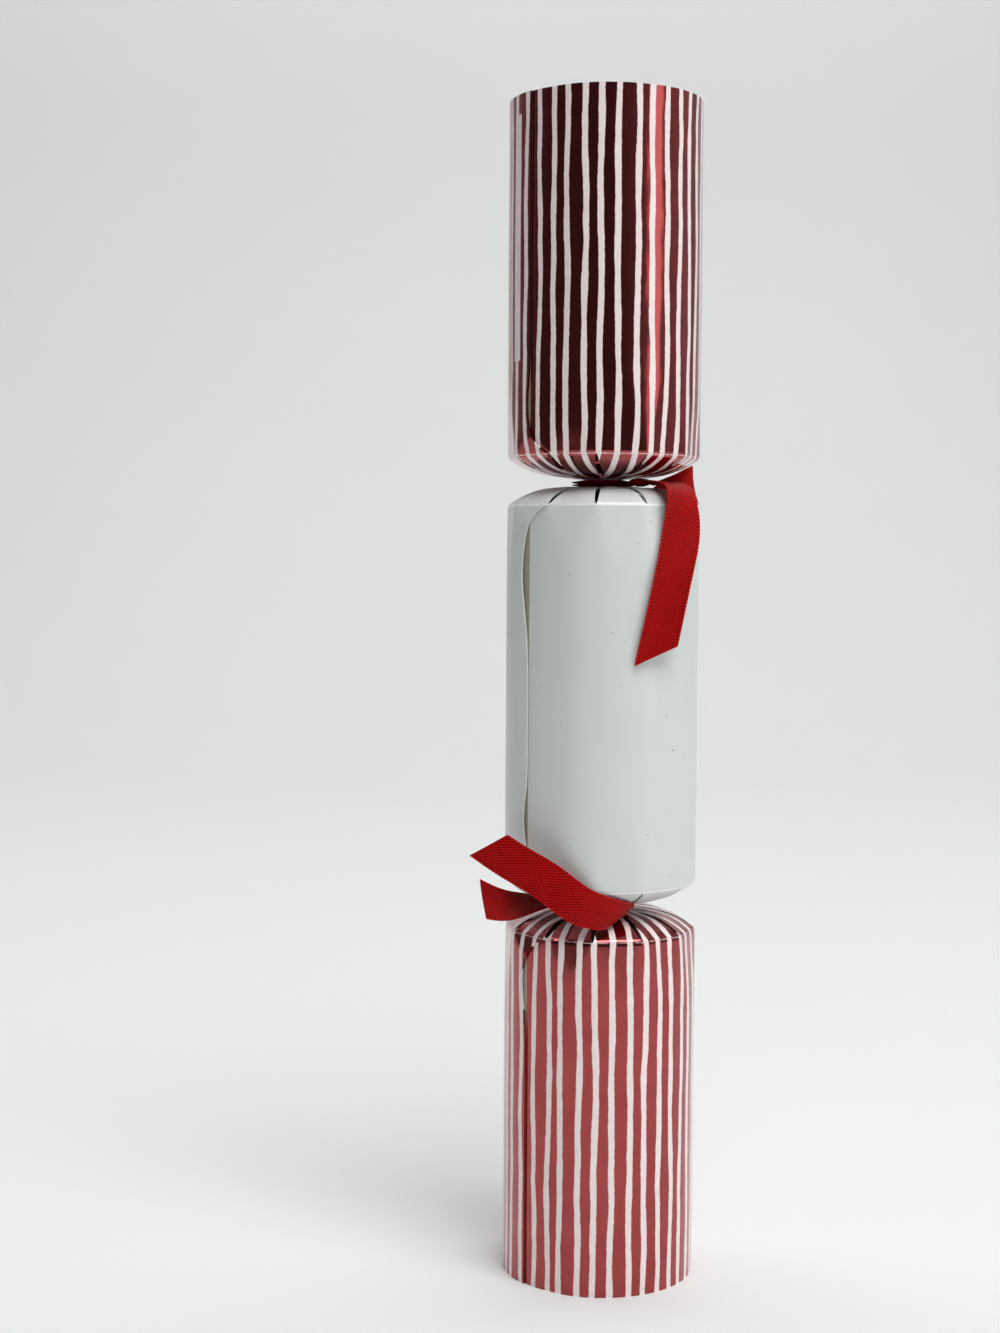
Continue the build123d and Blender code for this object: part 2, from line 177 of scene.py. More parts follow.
FACET_REACH = 16.0  # how far the flats of a crease run on into the round tube
SEAM_FACET_REACH = 4.5  # on the flat under the seam's edge
NEXT_FACET_REACH = 10.0  # on the flat beside it
FACET_BLEND = 0.25  # rounds the line where a flat meets the tube
DENT = 0.10  # half the depth of the dents in the card
DENT_LENGTH = 34.0
DENT_PACE = 1.1  # a larger one makes shorter dents round the tube
CREASE_DRAW = 0.16  # a crease lies this far in from the flats
CREASE_SINK = 0.06  # and this far back along the tube
EAR_REACH = 2.8  # the free edge comes back from the last petal over about this height
EDGE_LIFT = 0.10  # how far the free edge lifts, as a share of how far it stands back
LAP_START = 196.0  # from here the outer layer follows its free edge
SHEET_END = PETAL_START + 360.0
COLUMN_TURN = 2.5  # between the points round a wrap
LAP_COLUMNS = 17  # on the lap under the seam
PETAL_COLUMNS = round(PETAL_TURN / COLUMN_TURN)
COLUMNS = [PETAL_START + COLUMN_TURN * i for i in range(-LAP_COLUMNS, PETALS * PETAL_COLUMNS + 1)]
LEVEL_STEP = 2.0  # between the points up a wrap
LEAST_STEP = 0.3  # closer levels are left out
CREASE_DEPTHS = (0.4, 0.9, 1.6, 2.4, 3.4, 4.4, 5.6, 6.8)  # more levels behind a crease
PETAL_STEPS = (0.018, 0.045, 0.08, 0.125, 0.18, 0.25, 0.34, 0.45, 0.58, 0.72, 0.86, 1.0)
NECK_STEPS = (0.5, 1.0)
PROFILE_POINTS = 240
PETAL_BULGE, PETAL_BULGE_CHANGE = 0.22, 0.7
PETAL_LEAN = 0.30
WRAP_SHARP = 48.0  # edges with a larger angle stay sharp


def dip(s):
    """How far the sheet's inner layer lies under the outer one, at an angle along the sheet."""
    share = min(max((PETAL_START + SEAM_RISE - s) / SEAM_RISE, 0.0), 1.0)
    return SEAM_STEP * share * share * (3 - 2 * share)


def slit(t):
    """Half of a slit's width, from the crease to the neck."""
    return SLIT_WIDTH / 2 * math.sin(math.pi * math.sqrt(t)) + SLIT_NECK_WIDTH / 2 * t


def soft_min(a, b):
    """The smaller of two radii, rounded off where they are close."""
    h = max(FACET_BLEND - abs(a - b), 0.0) / FACET_BLEND
    return min(a, b) - h * h * FACET_BLEND / 4


def flat_number(s):
    """Which flat of a crease an angle falls on."""
    return int((s - SLIT_ANGLE) // PETAL_TURN)


def facet_reach(s):
    """How far a crease's flat runs along the tube: less at the seam, where the inner layer lies deeper."""
    past_seam = (flat_number(s) - flat_number(SEAM_EDGE)) % PETALS
    return {0: SEAM_FACET_REACH, 1: NEXT_FACET_REACH}.get(past_seam, FACET_REACH)


def tube_radius(s, z, creases, seed):
    """Outer radius of the card: a round tube with flats behind its creases, and slight dents."""
    off_middle = math.radians((s - SLIT_ANGLE) % PETAL_TURN - PETAL_TURN / 2)
    radius = RADIUS
    for crease in creases:
        reach = abs(z - crease) * (RADIUS - APOTHEM) / facet_reach(s)
        radius = soft_min(radius, (APOTHEM + reach) / math.cos(off_middle))
    dent = ring_wave(s, DENT_PACE, z / DENT_LENGTH, seed_x=seed)
    return radius - DENT * (1 + dent) - dip(s)


def free_edge(z, creases, gaps):
    """Sheet angle of the outer layer's free edge, and how far it stands back.

    The edge meets the last petal at a crease, and stands back in the gaps.
    """
    ear = sum(math.exp(-abs(z - crease) / EAR_REACH) for crease in creases)
    back = sum(gap.size * math.exp(-((z - gap.level) / gap.reach) ** 2) for gap in gaps)
    edge = SEAM_EDGE + 360.0 + (PETAL_START - SEAM_EDGE) * min(ear, 1.0)
    return edge - math.degrees(back / RADIUS), back


def wrap_levels(low, high, folds):
    """Levels of the points up a wrap, closer behind its creases."""
    creases = [fold.crease for fold in folds]
    levels = {low, high}
    z = low
    while z < high:
        levels.add(z)
        z += LEVEL_STEP
    for fold in folds:
        levels.update(fold.crease - fold.sense * depth for depth in CREASE_DEPTHS)
    levels = sorted(levels)
    return [z for i, z in enumerate(levels) if i == 0 or z - levels[i - 1] > LEAST_STEP or z in creases]


def add_tube(sheet, levels, folds, gaps, seed):
    """Adds the rolled tube with its lap, and gives its rows of points."""
    senses = {fold.crease: fold.sense for fold in folds}
    grid = []
    for z in levels:
        edge, back = free_edge(z, senses, gaps)
        row = []
        for s in COLUMNS:
            lapped = max(0.0, (s - LAP_START) / (SHEET_END - LAP_START))
            turned = LAP_START + (edge - LAP_START) * lapped if lapped else s
            radius = tube_radius(turned, z, senses, seed) + EDGE_LIFT * back * lapped**3
            if z in senses:
                radius -= CREASE_DRAW
            place = (*polar(radius, turned), z - senses.get(z, 0) * CREASE_SINK)
            row.append(sheet.add(place, (math.radians(turned) * RADIUS, z)))
        grid.append(row)
    sheet.rows(grid)
    return grid


def petal_profile(fold):
    """Shares of the way in along a petal, with its height and run length at each."""
    shares = np.linspace(0.0, 1.0, PROFILE_POINTS)
    heights = fold.height * (fold.dome * (1 - (1 - shares) ** DOME_POWER) + (1 - fold.dome) * shares)
    runs = np.hypot(np.diff(shares) * (APOTHEM - NECK_APOTHEM), np.diff(heights))
    return shares, heights, np.r_[0.0, np.cumsum(runs)]


def petal_rows(fold):
    """Rows from a crease to the end of the neck: share of the way in, apothem, half width, height and run."""
    shares, heights, runs = petal_profile(fold)
    rows = []
    for t in PETAL_STEPS:
        apothem = APOTHEM + (NECK_APOTHEM - APOTHEM) * t
        half = apothem * math.tan(HALF_PETAL) - slit(t)
        rise = float(np.interp(t, shares, heights))
        run = float(np.interp(t, shares, runs))
        rows.append((t, apothem, half, rise, run))
    for share in NECK_STEPS if fold.neck else ():
        half = NECK_APOTHEM * math.tan(HALF_PETAL) - slit(1.0)
        past = fold.neck * share
        rows.append((1.0, NECK_APOTHEM, half, fold.height + past, runs[-1] + past))
    return rows


def add_petals(sheet, rim, fold, number, seed):
    """Adds the petals of a fold to a row of points. They bulge and lean a little, no two alike."""
    rows = petal_rows(fold)
    for k in range(PETALS):
        first = LAP_COLUMNS + k * PETAL_COLUMNS
        columns = range(first, first + PETAL_COLUMNS + 1)
        middle = COLUMNS[first] + PETAL_TURN / 2
        tangent = polar(1.0, middle + 90)
        lean = PETAL_LEAN * wave(k * 2.7 + seed, 4.1 * number, 0.3)
        crown = 1 + PETAL_BULGE_CHANGE * wave(k * 1.9 + seed, 8.2, 3.1 * number)
        petal = [[rim[i] for i in columns]]
        for t, apothem, half, rise, run in rows:
            arch = math.sin(math.pi * t)
            row = []
            for i in columns:
                w = math.tan(math.radians(COLUMNS[i] - middle)) / math.tan(HALF_PETAL)
                sunk = dip(COLUMNS[i]) * (1 - t)
                bulge = PETAL_BULGE * crown * arch * (1 - w * w) + lean * w * arch
                x, y = polar(apothem - sunk * 0.5, middle)
                z = fold.crease + fold.sense * (rise + bulge - sunk)
                place = (x + tangent[0] * w * half, y + tangent[1] * w * half, z)
                flat = (math.radians(middle) * RADIUS + w * half, fold.crease + fold.sense * run)
                row.append(sheet.add(place, flat))
            petal.append(row)
        sheet.rows(petal, flip=fold.sense < 0)


def make_wrap(node, low, high, folds, gaps, seed, materials, body):
    """A card section: the rolled tube with its lap, and the petals that fold in at each crease."""
    sheet = Sheet()
    grid = add_tube(sheet, wrap_levels(low, high, folds), folds, gaps, seed)
    for number, fold in enumerate(folds):
        rim = grid[0] if fold.crease == low else grid[-1]
        add_petals(sheet, rim, fold, number, seed)
    return finish_mesh(node, sheet.thickened(CARD), materials, body, WRAP_SHARP)


# Ribbons. Their pleats, cup and folds are the scene's own.

SPLINE_POINTS = 400
TAIL_ROWS, TAIL_COLUMNS = 110, 20
TAIL_THICKNESS = 0.36
TAIL_PLEATS = 3
TAIL_PLEAT_DEPTH = 0.5
TAIL_PLEAT_RUN = 5.0  # the pleats open out over about this length
TAIL_CUP = 0.42
TAIL_CUP_RUN = 8.0  # the ribbon cups over about this length
TAIL_RIPPLE = 0.16
TAIL_RIPPLE_LENGTH = 10.0
TAIL_SHARP = 60.0
LOOP_FOLDS = ((5.62, -0.74), (8.2, -0.42), (5.7, -0.08), (8.3, 0.3), (5.8, 0.72))  # radius, height
LOOP_FOLD_STEPS = (0.0, 0.12, 0.35, 0.65, 0.88)
LOOP_TURNS = 96
LOOP_GAP = 4  # turn between the knot's middle and an end of the loop
LOOP_ACROSS = 10.5  # ribbon that the pleats take up
LOOP_THICKNESS = 0.22
LOOP_DRAW = 0.1  # how far the pleats are pulled in
LOOP_SWAY = 0.22, 0.10  # of the pleats, outwards and along the axis
LOOP_SHARP = 70.0
KNOT_RADIUS = 10.8  # from the axis to the middle of a knot
KNOT_DEPTH = 2.1  # half of its size outwards
KNOT_BREADTH = 3.5  # half of its size round the neck
KNOT_HEIGHT = 1.0  # half of its size along the axis
KNOT_TIP = 3.55  # from its middle to the point that closes an end
KNOT_ROWS, KNOT_COLUMNS = 56, 64
KNOT_END = 0.12  # how thick its ends are, as a share of its middle
KNOT_BLUNT = 3.4  # how late it narrows towards its ends
KNOT_FOLD, KNOT_FOLD_PACE = 0.17, 11.0
KNOT_CREASE, KNOT_CREASE_PACE = 0.12, 17.0
KNOT_LUMP = 0.06
KNOT_SKEW = 0.25
KNOT_SHARP = 75.0


def spline(points, count):
    """Points at equal steps along a natural cubic spline through the given ones, and its length."""
    p = np.array(points, float)
    knots = np.r_[0, np.cumsum(np.linalg.norm(np.diff(p, axis=0), axis=1))]
    n, h = len(p), np.diff(knots)
    a, b = np.eye(n), np.zeros((n, 3))
    for i in range(1, n - 1):
        a[i, i - 1:i + 2] = h[i - 1], 2 * (h[i - 1] + h[i]), h[i]
        b[i] = 6 * ((p[i + 1] - p[i]) / h[i] - (p[i] - p[i - 1]) / h[i - 1])
    m = np.linalg.solve(a, b)

    def at(t):
        i = int(min(max(np.searchsorted(knots, t) - 1, 0), n - 2))
        left, right, width = knots[i + 1] - t, t - knots[i], h[i]
        bend = (m[i] * left**3 + m[i + 1] * right**3) / (6 * width)
        from_start = (p[i] / width - m[i] * width / 6) * left
        to_end = (p[i + 1] / width - m[i + 1] * width / 6) * right
        return bend + from_start + to_end

    fine = np.array([at(t) for t in np.linspace(0, knots[-1], SPLINE_POINTS)])
    run = np.r_[0, np.cumsum(np.linalg.norm(np.diff(fine, axis=0), axis=1))]
    wanted = np.linspace(0, run[-1], count)
    return np.stack([np.interp(wanted, run, fine[:, i]) for i in range(3)], axis=1), run[-1]


def route(stations, crease, sense, knot_angle, start):
    """A tail's two edges: stations round the barrel, as in the CAD source.

    A station is a share of the way out, a turn from the knot, a level from the crease, a skew and a tilt.
    """
    near, far = [], []
    for out, turn, level, skew, tilt in stations:
        angle = knot_angle + turn
        radius = start + out * (RADIUS + RIBBON_CLEAR - start)
        middle = Vector((*polar(radius, angle), crease + sense * level))
        half = Vector((*polar(math.cos(math.radians(tilt)), angle + 90 + skew), math.sin(math.radians(tilt))))
        half *= (RIBBON if near else RIBBON_GATHER) / 2
        near.append(middle - half)
        far.append(middle + half)
    return near, far


def make_tail(node, near, far, seed, material):
    """A free end of ribbon: pleated where it leaves its knot, slightly cupped, cut on the slant."""
    last = TAIL_ROWS - 1
    first, length_a = spline(near, TAIL_ROWS)
    second, length_b = spline(far, TAIL_ROWS)
    slant = RIBBON * math.tan(math.radians(RIBBON_CUT)) / length_b
    sheet = Sheet()
    grid = []
    for i in range(TAIL_ROWS):
        share = i / last
        short = share * (1 - slant) * last
        j = min(int(short), last - 1)
        a = Vector(first[i])
        b = Vector(second[j]).lerp(Vector(second[j + 1]), short - j)
        before, after = max(i - 1, 0), min(i + 1, last)
        along = Vector(first[after] - first[before]) + Vector(second[j + 1] - second[j])
        normal = (b - a).cross(along).normalized()
        gone = share * length_a
        row = []
        for k in range(TAIL_COLUMNS + 1):
            w = k / TAIL_COLUMNS
            x = 2 * w - 1
            pleat = math.cos(math.pi * (TAIL_PLEATS * w + 0.5))
            pleat = TAIL_PLEAT_DEPTH * math.exp(-gone / TAIL_PLEAT_RUN) * pleat
            cup = TAIL_CUP * (1 - x * x) * (1 - math.exp(-gone / TAIL_CUP_RUN))
            ripple = TAIL_RIPPLE * wave(gone / TAIL_RIPPLE_LENGTH + seed, x * 0.8, seed)
            place = a.lerp(b, w) + normal * (pleat + cup + ripple)
            run = share * (length_a * (1 - w) + length_b * (1 - slant) * w)
            row.append(sheet.add(place, (x * RIBBON / 2 + RIBBON / 2, run)))
        grid.append(row)
    sheet.rows(grid)
    mesh = sheet.thickened(TAIL_THICKNESS, offset=0.0)
    piece = finish_mesh(node, mesh, [material, material], "barrel", TAIL_SHARP)
    return piece, (length_a + length_b * (1 - slant)) / 2


def loop_section(angle, seed):
    """The pleated ribbon's section at an angle round the neck, as radii and heights."""
    outwards, upwards = LOOP_SWAY
    corners = []
    for k, (r, z) in enumerate(LOOP_FOLDS):
        r += outwards * ring_wave(angle, 1.3, k * 1.7, seed_x=seed) - LOOP_DRAW
        z += upwards * ring_wave(angle, 1.1, k * 2.3, seed_y=seed)
        corners.append((r, z))
    line = []
    for (r0, z0), (r1, z1) in zip(corners, corners[1:]):
        for share in LOOP_FOLD_STEPS:
            line.append((r0 + (r1 - r0) * share, z0 + (z1 - z0) * share))
    return line + corners[-1:]


def make_loop(node, level, knot_angle, seed, material):
    """The ribbon pleated lengthways and drawn round the neck."""
    sheet = Sheet()
    grid = []
    for i in range(LOOP_TURNS + 1):
        angle = knot_angle + LOOP_GAP + (360 - 2 * LOOP_GAP) * i / LOOP_TURNS
        line = loop_section(angle, seed)
        row = []
        run = 0.0
        for k, (r, z) in enumerate(line):
            if k:
                run += math.hypot(r - line[k - 1][0], z - line[k - 1][1])
            flat = (run * RIBBON / LOOP_ACROSS, math.radians(angle) * LOOP_RADIUS)
            row.append(sheet.add((*polar(r, angle), level + z), flat))
        grid.append(row)
    sheet.rows(grid)
    mesh = sheet.thickened(LOOP_THICKNESS, offset=0.0)
    return finish_mesh(node, mesh, [material, material], "barrel", LOOP_SHARP)


def make_knot(node, level, angle, seed, material):
    """The knot: ribbon pulled tight over itself, its folds running round it."""
    radial = Vector((*polar(1.0, angle), 0))
    tangent = Vector((*polar(1.0, angle + 90), 0))
    middle = radial * KNOT_RADIUS + Vector((0, 0, level))
    sheet = Sheet()
    grid = []
    for i in range(KNOT_ROWS + 1):
        x = -1 + 2 * i / KNOT_ROWS
        inner = 1 - x * x
        swell = KNOT_END + (1 - KNOT_END) * max(1 - abs(x) ** KNOT_BLUNT, 0.0) ** 0.5
        fold = KNOT_FOLD * math.cos(x * KNOT_FOLD_PACE + seed) * inner
        row = []
        for k in range(KNOT_COLUMNS):
            turn = 2 * math.pi * k / KNOT_COLUMNS
            skew = 0.9 * math.sin(turn + seed)
            crease = KNOT_CREASE * math.cos(x * KNOT_CREASE_PACE + skew * 2.2 + seed) * inner
            lump = 1 + KNOT_LUMP * wave(math.cos(turn) + seed, math.sin(turn), x * 2)
            depth = (KNOT_DEPTH * swell * lump + fold + crease) * math.cos(turn)
            height = (KNOT_HEIGHT * swell * lump + 0.6 * (fold + crease)) * math.sin(turn)
            breadth = x * KNOT_BREADTH + KNOT_SKEW * skew * inner
            place = middle + radial * depth + tangent * breadth + Vector((0, 0, height))
            row.append(sheet.add(place, (x * RIBBON / 2 + RIBBON / 2, turn * KNOT_DEPTH)))
        row.append(row[0])
        grid.append(row)
    sheet.rows(grid, flip=True)
    for row, x in ((grid[0], -1), (grid[-1], 1)):
        tip = sheet.add(middle + tangent * x * KNOT_TIP, (x * RIBBON / 2 + RIBBON / 2, 0.0))
        for a, b in zip(row, row[1:]):
            sheet.faces.append((tip, a, b) if x < 0 else (tip, b, a))
    mesh = sheet.mesh(node)
    mesh.validate()
    return finish_mesh(node, mesh, [material], "barrel", KNOT_SHARP)


# Materials

class Paint:
    """A node material in the making."""

    def __init__(self, name, rough=0.5):
        self.material = bpy.data.materials.new(name)
        self.material.use_nodes = True
        self.tree = self.material.node_tree
        self.tree.nodes.clear()
        self.output = self.node("ShaderNodeOutputMaterial")
        self.shader = self.node("ShaderNodeBsdfPrincipled")
        self.tree.links.new(self.shader.outputs[0], self.output.inputs[0])
        self.put("Roughness", rough)

    def node(self, kind, **settings):
        """Adds a node with its settings."""
        made = self.tree.nodes.new(kind)
        for key, value in settings.items():
            setattr(made, key, value)
        return made

    def feed(self, socket, value):
        """Links or sets what goes into a socket."""
        if isinstance(value, bpy.types.NodeSocket):
            self.tree.links.new(value, socket)
        elif isinstance(value, tuple) and len(value) == 3 and socket.type == "RGBA":
            socket.default_value = (*value, 1.0)
        else:
            socket.default_value = value

    def put(self, name, value):
        """Links or sets one of the shader's values."""
        self.feed(self.shader.inputs[name], value)

    def math(self, operation, a, b=0.0, c=0.0, clamp=False):
        """One operation on plain values."""
        made = self.node("ShaderNodeMath", operation=operation, use_clamp=clamp)
        for socket, value in zip(made.inputs, (a, b, c)):
            self.feed(socket, value)
        return made.outputs[0]

    def vector(self, operation, a, b=None):
        """One operation on vectors."""
        made = self.node("ShaderNodeVectorMath", operation=operation)
        self.feed(made.inputs[0], a)
        if b is not None:
            self.feed(made.inputs[1], b)
        return made.outputs[0]

    def join(self, x, y):
        """Two coordinates as one vector."""
        made = self.node("ShaderNodeCombineXYZ")
        self.feed(made.inputs[0], x)
        self.feed(made.inputs[1], y)
        return made.outputs[0]

    def parts(self, vector):
        """The coordinates of a vector."""
        made = self.node("ShaderNodeSeparateXYZ")
        self.feed(made.inputs[0], vector)
        return made.outputs

    def stretched(self, u, v, across, along):
        """The flat sheet's coordinates as one vector, each multiplied by a factor."""
        return self.join(self.math("MULTIPLY", u, across), self.math("MULTIPLY", v, along))

    def noise(self, vector, scale, detail, rough):
        """Smooth noise, about 0.5."""
        made = self.node("ShaderNodeTexNoise")
        self.feed(made.inputs["Vector"], vector)
        made.inputs["Scale"].default_value = scale
        made.inputs["Detail"].default_value = detail
        made.inputs["Roughness"].default_value = rough
        return made.outputs["Fac"]

    def random(self, value):
        """A number from 0 to 1 of its own for each whole value."""
        made = self.node("ShaderNodeTexWhiteNoise", noise_dimensions="1D")
        self.feed(made.inputs["W"], value)
        return made.outputs["Value"]

    def mix(self, share, a, b):
        """A colour between two."""
        made = self.node("ShaderNodeMix", data_type="RGBA")
        self.feed(made.inputs[0], share)
        self.feed(made.inputs[6], a)
        self.feed(made.inputs[7], b)
        return made.outputs[2]

    def span(self, value, low, high, to_low=0.0, to_high=1.0):
        """A value's place between two limits, carried over to two others."""
        made = self.node("ShaderNodeMapRange", clamp=True)
        for socket, v in zip(made.inputs, (value, low, high, to_low, to_high)):
            self.feed(socket, v)
        return made.outputs[0]

    def tones(self, value, dark, light, low=0.3, high=0.7):
        """A colour between two tones, by noise."""
        return self.mix(self.span(value, low, high), dark, light)

    def spread(self, value, reach, middle=0.0):
        """Noise from 0 to 1 turned into a number about a middle, at most a reach away."""
        return self.math("MULTIPLY_ADD", value, 2 * reach, middle - reach)

    def swing(self, value, pitch=1.0, low=0.0):
        """A sine wave between a low value and 1."""
        sine = self.math("SINE", self.math("MULTIPLY", value, 2 * math.pi / pitch))
        return self.math("MULTIPLY_ADD", sine, (1 - low) / 2, (1 + low) / 2)

    def band(self, value, low, high, soft):
        """1 between two limits, 0 outside, with soft edges."""
        rising = self.math("MULTIPLY_ADD", self.math("SUBTRACT", value, low), 1 / soft, 0.5, clamp=True)
        falling = self.math("MULTIPLY_ADD", self.math("SUBTRACT", high, value), 1 / soft, 0.5, clamp=True)
        return self.math("MULTIPLY", rising, falling)

    def flat(self):
        """The flat sheet's coordinates, in millimetres."""
        uv = self.node("ShaderNodeUVMap", uv_map="flat")
        u, v, _ = self.parts(uv.outputs[0])
        return self.math("MULTIPLY", u, FLAT_UNIT), self.math("MULTIPLY", v, FLAT_UNIT)

    def place(self):
        """The point on the object, in millimetres."""
        coordinates = self.node("ShaderNodeTexCoord")
        scaled = self.node("ShaderNodeVectorMath", operation="SCALE")
        self.tree.links.new(coordinates.outputs["Object"], scaled.inputs[0])
        scaled.inputs["Scale"].default_value = 1 / MM
        return scaled.outputs[0]

    def bump(self, height, strength, distance, under=None):
        """A rough surface, over another one if given."""
        made = self.node("ShaderNodeBump")
        made.inputs["Strength"].default_value = strength
        made.inputs["Distance"].default_value = distance
        self.feed(made.inputs["Height"], height)
        if under is not None:
            self.feed(made.inputs["Normal"], under)
        return made.outputs[0]


RAW_EDGE = math.radians(SEAM_EDGE) * RADIUS  # the card's print stops here, on the lap
BEFORE_SHEET = -200.0  # a place before the flat sheet begins
BOARD_TONES = (0.30, 0.29, 0.20), (0.42, 0.40, 0.29)
FOIL_TONES = (0.33, 0.038, 0.040), (0.38, 0.052, 0.054)
INK_TONES = (0.90, 0.77, 0.75), (0.95, 0.84, 0.82)
CRACKED_FOIL = (0.86, 0.74, 0.72)
WHITE_TONES = (0.665, 0.705, 0.690), (0.710, 0.748, 0.733)
WHITE_SPECK = (0.25, 0.25, 0.24)
# a pale line along the white card's creases: a painted highlight
WHITE_CREASE_HIGHLIGHT = (0.95, 0.96, 0.95)
# the ground between the floats, painted far darker than them: painted shade in the weave's hollows
RIBBON_SHADED_GROUND = (0.12, 0.001, 0.001), (0.19, 0.0015, 0.002)
RIBBON_FLOATS = (0.56, 0.003, 0.003), (0.76, 0.011, 0.010)
# painted shade in a groove just inside each selvedge
RIBBON_GROOVE_SHADE = (0.12, 0.002, 0.003)
RIBBON_GLINT = (1.0, 0.10, 0.10)
DIE_TONES = (0.82, 0.81, 0.77), (0.88, 0.87, 0.84)
PIP_COLOUR = (0.03, 0.03, 0.035)

# Stripes, as shares of their pitch
STRIPES = 36
STRIPE_PITCH = 2 * math.pi * RADIUS / STRIPES
STRIPE_HALF = 0.18  # half of a stripe's width
STRIPE_WANDER = 0.095  # of each edge
STRIPE_SHIFT = 0.12  # from its even place
STRIPE_LEAN = 0.27  # along its length
STRIPE_RAGGED = 0.04
STRIPE_SOFT = 0.04

# The bare strip on the upper end, and the ribbon's weave
BARE_STRIP_TURNS = 201.0, 208.5
BARE_STRIP_LEVELS = 238.0, 300.0
WEAVE_SLANT = math.radians(35.0)
WEAVE_ROW = 0.72  # pitch of the rows of floats
WEAVE_FLOAT = 0.60  # pitch of the floats in a row
SELVEDGE = 0.62
# where the painted shade of a groove lies
SHADED_GROOVE = 0.85, 0.58  # from the ribbon's edge
BEAD = 0.95  # pitch of the beads on the selvedge
PIP_FLOOR = 5.57, 5.60  # what lies nearer to a die's middle is the floor of a pip


def card_board(paint, u, v):
    """Colour of bare grey-cream board."""
    fibre = paint.noise(paint.join(u, v), 1.4, 4.0, 0.65)
    return paint.tones(fibre, *BOARD_TONES)


def bare_board(name):
    """Bare board, as on the inside and the cut edges of the card."""
    paint = Paint(name, rough=0.85)
    u, v = paint.flat()
    paint.put("Base Color", card_board(paint, u, v))
    fibre = paint.noise(paint.join(u, v), 3.0, 5.0, 0.7)
    paint.put("Normal", paint.bump(fibre, 0.35, 0.0002))
    return paint.material


def raw_lap(paint, u):
    """1 on the bare lap under the seam's edge, 0 on the print."""
    return paint.band(u, BEFORE_SHEET, RAW_EDGE, 0.15)


def stripe_mask(paint, u, v):
    """Hand-drawn stripes along the sheet, each with its own place, lean and wandering edges."""
    x = paint.math("DIVIDE", u, STRIPE_PITCH)
    cell = paint.math("FLOOR", x)
    place = paint.math("FRACT", x)
    seed = paint.math("MULTIPLY", cell, 5.37)
    ragged = paint.spread(paint.noise(paint.stretched(u, v, 1.3, 0.9), 1.0, 3.0, 0.6), STRIPE_RAGGED)
    shift = paint.spread(paint.random(cell), STRIPE_SHIFT, 0.5)
    lean = paint.noise(paint.join(seed, paint.math("MULTIPLY", v, 0.028)), 1.0, 1.0, 0.4)
    centre = paint.math("ADD", shift, paint.spread(lean, STRIPE_LEAN))
    limits = []
    for side, apart in ((-1, 3.1), (1, 47.9)):
        own = paint.join(paint.math("ADD", seed, apart), paint.math("MULTIPLY", v, 0.10))
        wander = paint.noise(own, 1.0, 2.0, 0.5)
        half = paint.spread(wander, STRIPE_WANDER * side, STRIPE_HALF * side)
        limits.append(paint.math("ADD", paint.math("ADD", centre, half), ragged))
    return paint.band(place, limits[0], limits[1], STRIPE_SOFT)


def foil_card(name, crease, bare_strip):
    """Red foil card with white stripes, a bare lap and a crease where the foil has cracked."""
    paint = Paint(name)
    u, v = paint.flat()
    white = stripe_mask(paint, u, v)
    if bare_strip:
        low, high = (math.radians(s) * RADIUS for s in BARE_STRIP_TURNS)
        strip = paint.band(u, low, high, 0.12)
        strip = paint.math("MULTIPLY", strip, paint.band(v, *BARE_STRIP_LEVELS, 0.4))
        white = paint.math("MAXIMUM", white, strip)
    crack = paint.noise(paint.stretched(u, v, 0.9, 1.0), 1.0, 3.0, 0.6)
    crease_line = paint.band(paint.math("SUBTRACT", v, crease), -0.16, 0.16, 0.12)
    crease_line = paint.math("MULTIPLY", crease_line, paint.span(crack, 0.36, 0.56, 0.15, 0.75))
    smear = paint.noise(paint.join(u, v), 0.11, 3.0, 0.55)
    foil = paint.tones(smear, *FOIL_TONES)
    ink_tone = paint.noise(paint.stretched(u, v, 1.0, 0.35), 0.8, 3.0, 0.6)
    ink = paint.tones(ink_tone, *INK_TONES)
    colour = paint.mix(white, foil, ink)
    colour = paint.mix(crease_line, colour, CRACKED_FOIL)
    raw = raw_lap(paint, u)
    colour = paint.mix(raw, colour, card_board(paint, u, v))
    dull = paint.math("MAXIMUM", paint.math("MAXIMUM", white, crease_line), raw)
    paint.put("Base Color", colour)
    paint.put("Metallic", paint.math("SUBTRACT", 1.0, dull))
    scuff = paint.noise(paint.join(u, v), 0.5, 4.0, 0.6)
    scuff = paint.span(scuff, 0.3, 0.75, 0.11, 0.17)
    paint.put("Roughness", paint.math("ADD", scuff, paint.math("MULTIPLY", dull, 0.22)))
    roll = paint.noise(paint.stretched(u, v, 0.16, 0.05), 1.0, 2.0, 0.5)
    grain = paint.noise(paint.join(u, v), 1.3, 2.0, 0.5)
    under = paint.bump(roll, 0.35, 0.0006)
    under = paint.bump(grain, 0.05, 0.00004, under)
    paint.put("Normal", paint.bump(white, 0.25, 0.00004, under))
    paint.put("Coat Weight", 0.6)
    paint.put("Coat Roughness", 0.1)
    return paint.material


